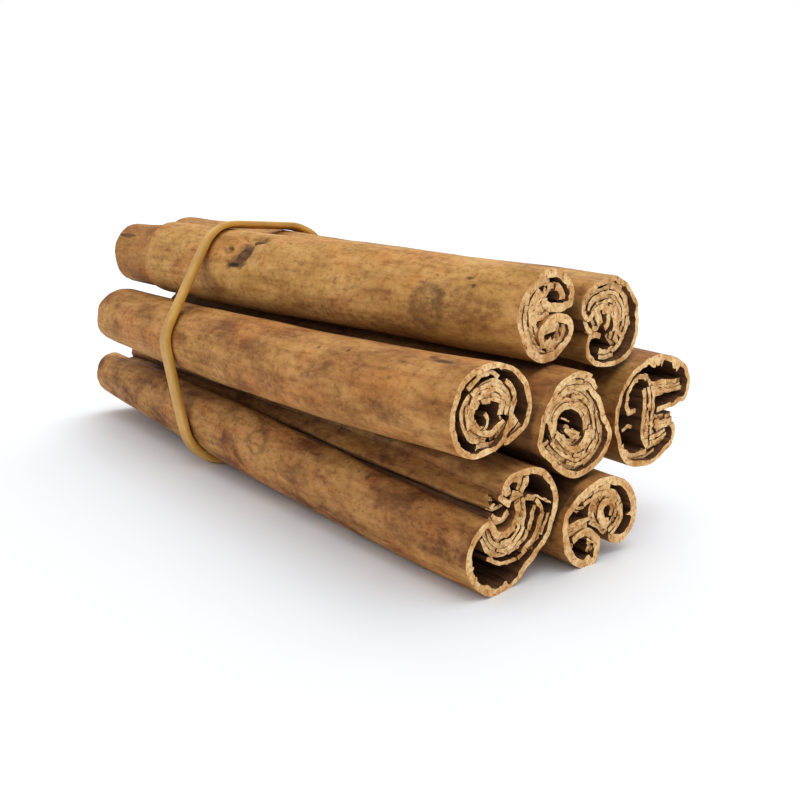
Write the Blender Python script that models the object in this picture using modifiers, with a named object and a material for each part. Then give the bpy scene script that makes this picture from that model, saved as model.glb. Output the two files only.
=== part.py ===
"""A bundle of seven cinnamon quills held by one flat rubber band.

Each quill is a sheet of bark that dried into a scroll. Its section is followed across the sheet
as a run of bends, (width of bark in mm, turn in degrees, wall in mm where that bend ends), from
one long edge of the sheet to the other. Layers packed against the bark are part of its wall.

Metres, +Z up. +X runs along the quills, towards the ends that are cut level. The origin is on
the ground, under the middle of the bundle.
"""
import math

import bmesh
import bpy
from mathutils import Vector

MM = 0.001

# The bundle's middle on the ground, in the layout of the table below (mm).
MIDDLE_X = -1.85
MIDDLE_Y = 1.0

BARK = 0.6               # outer bark, where it is a single layer
TURN_STEP = 23.0         # largest turn between two points of a section, degrees
WIDTH_STEP = 2.4         # largest width of bark between two points of a section
SPANS = 5                # stretches along a quill
PEEL_STATION_GAP = 0.05  # no ordinary station this near the edge of a peeled layer, as a share
PEEL_CORE = 2.5          # an outer layer that ends short covers nothing nearer the middle
LEVEL = 0.15             # depth of the worn flat under a quill that lies on the ground
LEVEL_LENGTH = 17.0      # how far it lies level, from its near end, before the band lifts it

BAND_WIDTH = 2.2
BAND_THICKNESS = 0.8
BAND_GAP = 0.3           # clear space between the band and the quills
BAND_X = -11.0           # where the band crosses the bundle's long axis
BAND_LEAN_Z = -0.2       # how far it moves along the quills for each mm up
BAND_HEIGHT = 14.0       # height at which it is at BAND_X
BAND_UNDER_X = BAND_X - BAND_LEAN_Z * BAND_HEIGHT
BAND_STEPS = 48
SHARP_EDGE = 40.0        # edges that turn more than this are shaded sharp, degrees

# near, far: middle of the section at the level end and at the other end, (x, y, z) in mm.
# colour: sRGB. heading: direction in which the first bend sets out, degrees.
# edge: wall at the first edge.
# twist: turn of the section between the near end and the far one. far_size: its size there.
# swell: how much larger it is half way along. bow: how far the middle of the quill stands off
# the straight line, (y, z).
# rests: lies on the ground all along. peel: (x, depth) of an outer layer that ends short.
QUILLS = {
    "stick_top_left": dict(
        colour=0xC2935A,
        near=(38.0, -1.6, 22.4), far=(-41.2, -6.1, 24.9), heading=80, edge=0.5, twist=4,
        far_size=1.17, swell=0.10, bow=(0.0, 0.0), peel=(-29.6, 0.45),
        bends=[(5.0, 280, 0.6), (1.0, -5, 0.6), (3.0, 135, 0.8), (5.0, 90, 1.0), (5.0, 65, 1.0),
               (8.0, 145, 0.8), (2.5, 120, 0.6), (2.0, 15, 0.6), (3.5, 205, 0.5)]),
    "stick_top_right": dict(
        colour=0x9A6B41,
        near=(38.1, 7.2, 21.2), far=(-39.6, 2.7, 25.9), heading=25, edge=0.5, twist=-8,
        far_size=0.95, swell=0.0, bow=(0.2, 0.0),
        bends=[(1.5, 90, 0.5), (3.0, 125, 0.5), (1.5, -120, 0.5), (2.5, -85, 0.7),
               (5.5, -60, 1.2), (3.0, -45, 2.0), (3.0, -45, 2.0), (7.5, -100, 0.8),
               (3.5, -170, 0.7), (0.5, -5, 0.6), (1.5, -80, 0.5)]),
    "stick_middle_right": dict(
        colour=0x8F6238,
        near=(39.8, 12.3, 12.2), far=(-40.0, 9.8, 15.6), heading=110, edge=0.6, twist=10,
        far_size=0.92, swell=0.0, bow=(0.0, 0.3),
        bends=[(2.5, 155, 0.8), (2.5, 95, 0.8), (3.5, 35, 0.7), (4.0, 115, 0.7), (6.5, 50, 0.8),
               (4.0, 45, 0.9), (5.5, 50, 0.7), (3.0, 55, 0.8), (6.5, 55, 0.7), (2.5, 165, 0.6),
               (3.5, -5, 0.9)]),
    "stick_centre": dict(
        colour=0xA87848,
        near=(41.2, -1.15, 13.0), far=(-36.0, -0.2, 15.4), heading=160, edge=0.5, twist=12,
        far_size=0.90, swell=0.0, bow=(0.0, 0.0),
        bends=[(9.5, 105, 0.7), (1.5, 60, 0.8), (2.5, -10, 0.9), (7.0, 95, 1.0), (3.0, 75, 1.0),
               (1.5, -15, 1.1), (7.5, 125, 1.2), (3.0, 80, 1.1), (3.5, 45, 1.0), (2.0, 110, 0.6)]),
    "stick_middle_left": dict(
        colour=0xB1804B,
        near=(40.8, -10.75, 15.8), far=(-38.0, -9.45, 16.05), heading=-125, edge=0.6, twist=-6,
        far_size=0.99, swell=0.03, bow=(-0.25, -0.6),
        bends=[(2.0, -55, 0.9), (2.5, -90, 1.1), (3.5, -85, 1.1), (5.5, -135, 0.9),
               (4.0, -45, 0.6), (3.0, -70, 0.6), (7.0, -100, 0.6), (6.0, -70, 0.6),
               (4.0, -75, 0.6), (3.5, -45, 0.6)]),
    "stick_bottom_left": dict(
        colour=0xA26C3F,
        near=(41.6, -8.75, 5.4), far=(-46.0, -6.4, 4.9), heading=-75, edge=1.0, twist=-30,
        far_size=0.91, swell=0.13, bow=(-0.3, 0.0), rests=True,
        bends=[(3.5, -110, 2.0), (1.5, -70, 1.3), (1.0, 95, 0.6), (4.0, 80, 0.6),
               (8.0, 120, 0.6), (1.5, -15, 0.6), (6.0, 65, 0.6), (2.0, 40, 0.6), (5.5, 70, 0.6),
               (3.0, 140, 0.5)]),
    "stick_bottom_right": dict(
        colour=0xA87848,
        near=(42.3, 1.75, 3.9), far=(-40.0, 4.6, 4.3), heading=170, edge=0.5, twist=20,
        far_size=0.97, swell=0.0, bow=(0.0, 0.0), rests=True,
        bends=[(3.0, -170, 1.2), (3.5, -110, 1.0), (1.0, -45, 0.7), (1.0, 130, 0.6),
               (4.0, 115, 0.7), (5.5, 75, 0.9), (7.5, 75, 1.5), (2.5, 50, 1.1), (4.0, 70, 0.8),
               (4.5, 175, 0.7), (2.0, 35, 0.5)]),
}


def clear_scene():
    for obj in list(bpy.data.objects):
        bpy.data.objects.remove(obj, do_unlink=True)


def linear(colour):
    """The linear red, green and blue of an sRGB colour written as 0xRRGGBB."""
    shares = [(colour >> shift & 0xFF) / 255.0 for shift in (16, 8, 0)]
    return [s / 12.92 if s <= 0.04045 else ((s + 0.055) / 1.055) ** 2.4 for s in shares]


def material(name, colour, roughness):
    mat = bpy.data.materials.new(name)
    mat.use_nodes = True
    shader = mat.node_tree.nodes["Principled BSDF"]
    shader.inputs["Base Color"].default_value = (*linear(colour), 1.0)
    shader.inputs["Roughness"].default_value = roughness
    shader.inputs["Metallic"].default_value = 0.0
    return mat


def section(quill):
    """The outer face of the rolled sheet in (y, z), anticlockwise, with the wall at each point.

    The bends run along the middle of a single layer of bark, so the face is half a layer out.
    """
    side = math.copysign(1.0, sum(turn for _, turn, _ in quill["bends"]))
    place = Vector((0.0, 0.0))
    heading = math.radians(quill["heading"])
    wall = quill["edge"]
    headings = [heading]
    places = [place]
    walls = [wall]
    for width, turn, end_wall in quill["bends"]:
        steps = max(math.ceil(abs(turn) / TURN_STEP), math.ceil(width / WIDTH_STEP))
        half_turn = math.radians(turn) / steps / 2
        for step in range(1, steps + 1):
            heading += half_turn
            place = place + Vector((math.cos(heading), math.sin(heading))) * width / steps
            heading += half_turn
            headings.append(heading)
            places.append(place)
            walls.append(wall + (end_wall - wall) * step / steps)
        wall = end_wall
    face = [place + Vector((math.sin(angle), -math.cos(angle))) * side * BARK / 2
            for place, angle in zip(places, headings)]
    low = Vector((min(p.x for p in face), min(p.y for p in face)))
    high = Vector((max(p.x for p in face), max(p.y for p in face)))
    rows = [(p - (low + high) / 2, wall) for p, wall in zip(face, walls)]
    return rows if side > 0 else rows[::-1]


def stations(quill):
    """Places along a quill as (share of the way from its near end, depth peeled off)."""
    shares = [span / SPANS for span in range(SPANS + 1)]
    if "peel" not in quill:
        return [(share, 0.0) for share in shares]
    near, far = quill["near"][0], quill["far"][0]
    peel_x, depth = quill["peel"]
    edge = (near - peel_x) / (near - far)
    foot = (near - peel_x + depth) / (near - far)
    kept = [share for share in shares if share < edge - PEEL_STATION_GAP]
    return [(share, 0.0) for share in kept + [edge]] + [(foot, depth), (1.0, depth)]


def outline_at(quill, share, peeled):
    """The section's outer face at one share of the length, as (point in mm, wall) pairs."""
    near, far = Vector(quill["near"]), Vector(quill["far"])
    middle = near.lerp(far, share)
    middle.y += quill["bow"][0] * math.sin(math.pi * share)
    middle.z += quill["bow"][1] * math.sin(math.pi * share)
    angle = math.radians(quill["twist"]) * share
    size = 1.0 + (quill["far_size"] - 1.0) * share + quill["swell"] * math.sin(math.pi * share)
    rows = []
    for point, wall in section(quill):
        bare = peeled * min(max(point.length - PEEL_CORE, 0.0), 1.0)
        point = point * size * (1.0 - bare / point.length)
        y = point.x * math.cos(angle) - point.y * math.sin(angle)
        z = point.x * math.sin(angle) + point.y * math.cos(angle)
        rows.append((Vector((middle.x, middle.y + y, middle.z + z)), wall * size - bare))
    if quill.get("rests"):
        floor = lift(near.x - middle.x, near.x - BAND_UNDER_X)
        drop = min(point.z for point, _ in rows) + LEVEL - floor
        for point, _ in rows:
            point.z = max(point.z - drop, floor)
    return rows


def lift(from_near, from_near_to_band):
    """Height of a lowest quill above the ground: the band runs under it and lifts it."""
    rise = (BAND_GAP + BAND_THICKNESS) / (from_near_to_band - LEVEL_LENGTH)
    return max(from_near - LEVEL_LENGTH, 0.0) * rise


def make_quill(name, quill, collection, mat):
    """A flat sheet of bark, rolled up and given its wall by Solidify."""
    places = stations(quill)[::-1]
    outlines = [outline_at(quill, share, peeled) for share, peeled in places]
    across = len(outlines[0]) - 1
    along = len(places) - 1
    bm = bmesh.new()
    bmesh.ops.create_grid(bm, x_segments=across, y_segments=along, size=0.5)
    mesh = bpy.data.meshes.new(name)
    thickest = max(wall for outline in outlines for _, wall in outline)
    walls = []
    for vert in bm.verts:
        column = round((vert.co.x + 0.5) * across)
        row = round((vert.co.y + 0.5) * along)
        point, wall = outlines[row][column]
        vert.co = (point - Vector((MIDDLE_X, MIDDLE_Y, 0.0))) * MM
        walls.append(wall / thickest)
    bm.to_mesh(mesh)
    bm.free()
    obj = bpy.data.objects.new(name, mesh)
    collection.objects.link(obj)
    mesh.materials.append(mat)
    group = obj.vertex_groups.new(name="wall")
    for index, weight in enumerate(walls):
        group.add([index], weight, "REPLACE")
    solid = obj.modifiers.new("wall", "SOLIDIFY")
    solid.thickness = thickest * MM
    solid.offset = -1.0
    solid.vertex_group = group.name
    mesh.shade_smooth()
    mesh.set_sharp_from_angle(angle=math.radians(SHARP_EDGE))
    return obj


def band_x(point):
    """The band lies in one leaning plane: its place along the quills at a point's height."""
    return BAND_X + BAND_LEAN_Z * (point.z - BAND_HEIGHT)


def where_band_crosses(quill):
    """Points in which the band's plane cuts the long lines of a quill."""
    outlines = [outline_at(quill, share, peeled) for share, peeled in stations(quill)]
    points = []
    for nearer, farther in zip(outlines, outlines[1:]):
        for (start, _), (end, _) in zip(nearer, farther):
            before = start.x - band_x(start)
            after = end.x - band_x(end)
            if before >= 0.0 > after:
                points.append(start.lerp(end, before / (before - after)))
    return points


def make_band(name, collection, mat):
    """A flat strip stretched round the quills: straight between them, curved where it bears."""
    touched = [point for quill in QUILLS.values() for point in where_band_crosses(quill)]
    square_to_loop = Vector((1.0, 0.0, -BAND_LEAN_Z))
    bm = bmesh.new()
    bmesh.ops.create_grid(bm, x_segments=BAND_STEPS, y_segments=1, size=0.5)
    for vert in bm.verts:
        step = round((vert.co.x + 0.5) * BAND_STEPS) % BAND_STEPS
        angle = 2.0 * math.pi * step / BAND_STEPS
        outward = Vector((0.0, math.cos(angle), math.sin(angle)))
        bearing = max(touched, key=outward.dot)
        centre = bearing + outward * BAND_GAP
        centre.x = band_x(centre)
        across = (square_to_loop - outward * square_to_loop.dot(outward)).normalized()
        edge = centre + across * math.copysign(BAND_WIDTH / 2, vert.co.y)
        vert.co = (edge - Vector((MIDDLE_X, MIDDLE_Y, 0.0))) * MM
    bmesh.ops.remove_doubles(bm, verts=bm.verts, dist=0.001 * MM)
    mesh = bpy.data.meshes.new(name)
    bm.to_mesh(mesh)
    bm.free()
    obj = bpy.data.objects.new(name, mesh)
    collection.objects.link(obj)
    mesh.materials.append(mat)
    solid = obj.modifiers.new("thickness", "SOLIDIFY")
    solid.thickness = BAND_THICKNESS * MM
    solid.offset = 1.0
    solid.use_even_offset = True
    mesh.shade_smooth()
    mesh.set_sharp_from_angle(angle=math.radians(SHARP_EDGE))
    return obj


def main():
    clear_scene()
    bundle = bpy.data.collections.new("cinnamon_bundle")
    bpy.context.scene.collection.children.link(bundle)
    for name, quill in QUILLS.items():
        bark = material("bark_" + name, quill["colour"], 0.8)
        make_quill(name, quill, bundle, bark)
    rubber = material("natural_rubber", 0xCDA052, 0.45)
    make_band("rubber_band", bundle, rubber)


main()
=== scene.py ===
"""A bundle of seven cinnamon quills held by a flat rubber band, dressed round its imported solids.

Every quill is rolled from thin sheets of bark. Its outer sheet follows a run of bends, (width of
bark in mm, turn in degrees), as its solid does. The sheets packed inside it are arcs drawn
through a few points of the cut end. All sheets run from one end of the quill to the other.

Section sizes are in mm. The bundle lies along X, +Z up, with its level-cut ends towards +X.
"""
import math

import bpy
import numpy as np
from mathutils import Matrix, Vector
from mathutils.bvhtree import BVHTree


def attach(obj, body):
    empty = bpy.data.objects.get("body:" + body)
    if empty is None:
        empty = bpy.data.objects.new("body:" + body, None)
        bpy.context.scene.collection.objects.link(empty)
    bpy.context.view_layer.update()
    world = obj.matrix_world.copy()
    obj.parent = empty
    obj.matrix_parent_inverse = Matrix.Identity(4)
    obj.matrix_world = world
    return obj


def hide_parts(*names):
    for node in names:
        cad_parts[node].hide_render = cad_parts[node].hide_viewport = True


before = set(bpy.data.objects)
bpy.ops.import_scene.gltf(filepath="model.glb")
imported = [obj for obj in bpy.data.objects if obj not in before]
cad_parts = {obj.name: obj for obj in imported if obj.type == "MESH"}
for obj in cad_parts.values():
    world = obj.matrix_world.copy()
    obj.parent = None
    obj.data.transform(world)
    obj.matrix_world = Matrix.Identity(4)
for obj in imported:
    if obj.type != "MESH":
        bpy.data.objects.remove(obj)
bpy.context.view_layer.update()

MM = 0.001

# The bundle's middle on the ground, in the layout of the tables below (mm).
MIDDLE = np.array((-1.85, 1.0, 0.0))

# Bark.
BARK = 0.6               # a single layer of bark; bends run along its middle
ACROSS_STEP = 0.26       # spacing of points round a section
ALONG_STEP = 0.8         # spacing of points along a quill, away from its ends
END_ROWS = (0.0, 0.12, 0.3, 0.55, 0.9, 1.4, 2.1)   # rows of points near a cut end
ALONG_EDGE = 0.5         # an edge that runs along a quill faces less than this toward its ends
SHARP_EDGE = 40.0        # edges that turn more than this are shaded sharp, degrees
LEVEL = 0.15             # worn flat under a quill that lies on the ground
LEVEL_LENGTH = 17.0      # how far it lies level, from its near end, before the band lifts it

# Unevenness of the bark: its height, and how long and how wide its swells are.
ALL_ALONG = 900.0        # longer than a quill, so it doesn't change along it
RIPPLE_FINE = (0.03, 3.0, 0.6)
RIPPLE_MIDDLE = (0.09, 7.0, 1.6)
RIPPLE_COARSE = (0.24, 22.0, 6.0)
RIPPLE_BURIED = (0.1, 9.0, 0.7)       # where the sheet is rolled inside itself
RIPPLE_SETTLES = 8.0                  # the coarse unevenness fades this near the ends
UNEVEN_WALL = (0.12, 5.0, 1.2)        # of the wall, as a share of it
TORN = ((0.06, ALL_ALONG, 0.45), (0.06, ALL_ALONG, 1.3), (0.32, ALL_ALONG, 3.5))  # of a cut end
TEETH = ((0.6, ALL_ALONG, 0.32), (0.6, ALL_ALONG, 1.1))
TOOTH_DEPTH = 0.2        # torn fibres on the inner edge of a cut end
TOOTH_REACH = 0.9        # how far in from the end they are seen
CUT_BACK = 0.4           # how much farther in than the rest a broken end may lie
BESIDE = 0.2             # directions this close are compared, radians
BURIED = 0.8             # nearer the middle than this share of the farthest turn is inside it
KNOT_DEPTH = 0.7         # how far a knot sinks

# The outer layer that ends short of the quill's end.
PEEL_SLOPE = 0.06
PEEL_CORE = 2.5          # it covers nothing nearer the middle of the section
PEEL_RAGGED = 1.2
PEEL_TORN = (0.7 * PEEL_RAGGED, ALL_ALONG, 2.0)

# The strip over a seam.
COVER_SINK = 0.25        # how far its end is tucked in
COVER_STEP = 1.2
COVER_RIPPLE = (0.09, 6.0, 1.0)
COVER_WAVER = (0.12, 9.0, 1.0)
COVER_TORN = (1.0, ALL_ALONG, 0.8)
COVER_WALL = (0.15, 5.0, 0.6)

# Sheets packed inside a quill.
ARC_POINTS = 24          # fine points between two given points of an arc
LAYER_STEP = 0.25
LAYER_ROWS = (0.0, 0.15, 0.4, 0.9, 1.8, 4.0, 10.0, 20.0)
LAYER_ALONG_STEP = 12.0
LAYER_RIPPLES = ((0.05, 5.0, 1.1), (0.05, ALL_ALONG, 0.45))
LAYER_TORN = (0.06, ALL_ALONG, 0.5)
LAYER_WALL = (0.25, ALL_ALONG, 0.5)
LAYER_SHIFT = 0.06       # how far a strip lies out of its place
MASS_WALL = (0.07, 5.0, 0.8)
FLAKE_WIDTH = (1.5, 6.0)  # a packed sheet is broken into strips this wide
FLAKE_POINTS = 7         # points of a buried sheet that break off together
CRUMBS = 60              # at each end
CRUMB_SIZE = (0.1, 0.26)
CRUMB_SHAPE = (1.2, 1.8, 0.6)

# Rubber band.
BAND_WIDTH = 2.2
BAND_THICKNESS = 0.8
BAND_GAP = 0.3           # room for the band under a lowest quill, beside its thickness
BAND_X = -11.0           # where the band crosses the bundle's long axis
BAND_LEAN_Z = -0.2       # how far it moves along the quills for each mm up
BAND_HEIGHT = 14.0       # height at which it is at BAND_X
BAND_UNDER_X = BAND_X - BAND_LEAN_Z * BAND_HEIGHT
BAND_STEP = 0.5
BAND_BEARINGS = 720      # directions in which the quills are felt for the band's line
BAND_CLEAR = 0.12        # the band bears on the bark
BAND_SIDES = 20
BAND_GROOVE = 0.1
BAND_DRIFT = (0.25, 16.0, 9.0)

# Painted shade in the creases, where other bark closes in: how dark it is, how far off a surface
# shelters it, and the leans to both sides in which the shelter is felt.
CREASE_SHADE = 0.85
CREASE_SHADE_REACH = 5.0
CREASE_SHADE_LEANS = (-2.0, -0.8, 0.0, 0.8, 2.0)
CREASE_SHADE_START = 0.06        # just clear of the bark itself

# Studio: strengths, turns in degrees, and the camera's place in the layout of the tables (mm).
AMBIENT = 0.78
KEY = 1.0
RIM = 0.8
SOFTNESS = 50.0          # angle across each lamp, degrees
KEY_TURN = (-6.0, 4.0, 0.0)
RIM_TURN = (-42.0, -30.0, 0.0)
CAMERA = (91.0, -60.7, 32.0)
CAMERA_TURN = (77.64, 0.0, 51.31)
LENS = 40.12

# Colours of each quill's face: pale, middle, dark, and how mottled it is.
FINISHES = {
    "top_left": (0xDBAA68, 0xCA9855, 0xA67740, 0.1),
    "top_right": (0xD4A562, 0xBF8E50, 0x94693A, 0.3),
    "middle_right": (0xC29258, 0xA6763F, 0x7C552E, 0.5),
    "centre": (0xBF8B52, 0xA67442, 0x7D5430, 0.4),
    "middle_left": (0xCE9A5C, 0xB68246, 0x925F31, 0.4),
    "bottom_left": (0xCC985A, 0xB07B46, 0x80522E, 0.7),
    "bottom_right": (0xC69357, 0xAA7843, 0x825732, 0.5),
}

# What the tree and the knife left on the bark, and painted shade: kind, middle, half sizes along X, Y and
# Z.
MARKS = {
    "top_left": [
        ("patch", (-12.0, -8.6, 21.8), (3.5, 2.5, 1.8)),
        ("patch", (31.5, -5.0, 22.3), (5.0, 3.0, 2.2)),
        # The long patches at (8.0, -6.5, 21.0) and (20.0, -5.8, 20.3) are painted shade on the low front
        # side of the quill.
        ("patch", (8.0, -6.5, 21.0), (9.0, 3.0, 1.8)), ("patch", (29.5, -4.8, 24.3), (3.5, 3.0, 1.2)),
        ("scab", (26.6, -5.6, 22.6), (2.2, 2.2, 2.2)), ("patch", (20.0, -5.8, 20.3), (9.0, 3.0, 1.2)),
        ("knot", (-6.6, -8.1, 25.4), (2.4, 1.8, 1.3)), ("knot", (-5.9, -7.2, 26.8), (2.0, 1.5, 1.0)),
        ("knot", (-9.2, -7.7, 26.7), (1.0, 0.9, 0.5)), ("knot", (-5.2, -5.7, 27.9), (2.4, 1.0, 0.6)),
        ("hole", (-6.0, -7.4, 26.8), (0.8, 0.9, 0.45)), ("hole", (-7.5, -8.1, 24.8), (1.0, 0.9, 0.4)),
        ("hole", (-9.0, -7.7, 26.6), (0.5, 0.7, 0.3)), ("hole", (-4.8, -5.7, 27.9), (1.2, 0.7, 0.25)),
        ("scar", (26.6, -5.6, 22.6), (2.2, 2.2, 2.2)), ("hole", (27.4, -5.5, 22.1), (0.4, 0.6, 0.4)),
        ("speck", (19.6, -5.6, 24.7), (0.3, 0.5, 0.25)), ("speck", (26.0, -4.7, 25.2), (0.4, 0.5, 0.3)),
        ("speck", (31.9, -4.8, 24.8), (0.3, 0.5, 0.25)), ("speck", (30.9, -4.2, 25.4), (0.6, 0.5, 0.2)),
        ("speck", (17.4, -6.2, 22.9), (0.3, 0.5, 0.4)),
    ],
    "middle_left": [
        ("patch", (27.5, -14.5, 17.6), (2.6, 2.5, 1.4)), ("patch", (21.0, -15.5, 16.6), (3.5, 2.5, 1.8)),
        ("patch", (0.5, -14.0, 17.9), (3.0, 2.5, 1.5)), ("patch", (8.5, -14.5, 17.4), (3.0, 2.5, 1.6)),
        ("patch", (13.0, -16.0, 14.0), (4.0, 2.5, 2.0)), ("patch", (33.0, -15.8, 14.5), (3.0, 2.0, 1.5)),
        ("speck", (24.0, -13.2, 18.8), (0.4, 0.5, 0.25)), ("speck", (19.6, -13.6, 18.6), (0.3, 0.5, 0.2)),
        # The "shade" marks are painted shade along the crease under this quill.
        ("shade", (-6.0, -13.0, 11.6), (16.0, 2.0, 1.3)), ("shade", (20.0, -13.0, 11.2), (16.0, 2.0, 1.3)),
        ("speck", (36.5, -12.4, 19.3), (1.2, 0.5, 0.15)), ("speck", (34.6, -12.0, 19.4), (0.8, 0.5, 0.15)),
    ],
    "bottom_left": [
        ("patch", (30.5, -13.6, 5.8), (3.4, 2.5, 1.8)), ("patch", (33.5, -14.2, 4.2), (3.0, 2.5, 1.6)),
        ("patch", (16.3, -13.9, 5.6), (2.2, 2.0, 1.1)), ("patch", (-8.0, -12.2, 5.8), (4.0, 2.5, 1.8)),
        ("patch", (25.0, -9.0, 9.2), (2.0, 1.5, 1.0)), ("patch", (3.0, -9.5, 8.6), (5.0, 2.5, 1.6)),
        ("scar", (7.6, -13.6, 6.5), (2.0, 1.6, 1.4)), ("speck", (21.5, -13.4, 6.3), (0.5, 0.6, 0.45)),
        ("speck", (26.4, -12.6, 6.8), (0.5, 0.6, 0.35)), ("speck", (16.9, -9.3, 9.1), (0.3, 0.5, 0.9)),
        ("speck", (31.8, -9.8, 8.4), (0.7, 0.8, 0.6)),
        # The "shade" marks are painted shade along the crease where the quill above rests on this one.
        ("shade", (-12.0, -8.0, 10.6), (14.0, 2.2, 1.6)), ("shade", (6.0, -8.9, 10.2), (14.0, 1.8, 1.2)),
        ("shade", (24.0, -9.3, 10.4), (14.0, 1.6, 1.0)),
    ],
}
# Colour of a mark, how strongly it covers the bark, how soft its edge is, whether it is a ring.
MARK_KINDS = {
    "patch": (0x7C4E2C, 0.72, 0.8, False),
    # shade: painted shade, laid dark along a crease.
    "shade": (0x2A1A10, 0.85, 0.9, False),
    "scab": (0x7A5634, 0.75, 0.4, False),
    "knot": (0x65452B, 0.9, 0.5, False),
    "hole": (0x2A1B12, 0.95, 0.5, False),
    "speck": (0x50351F, 0.85, 0.5, False),
    "scar": (0x543218, 0.5, 1.0, True),
}
RAGGED = 1.6             # how far its outline wanders, as a share of its size
RING_AT = 0.9            # where a ring lies, as a share of its half size
RING_WIDTH = 0.3

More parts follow.
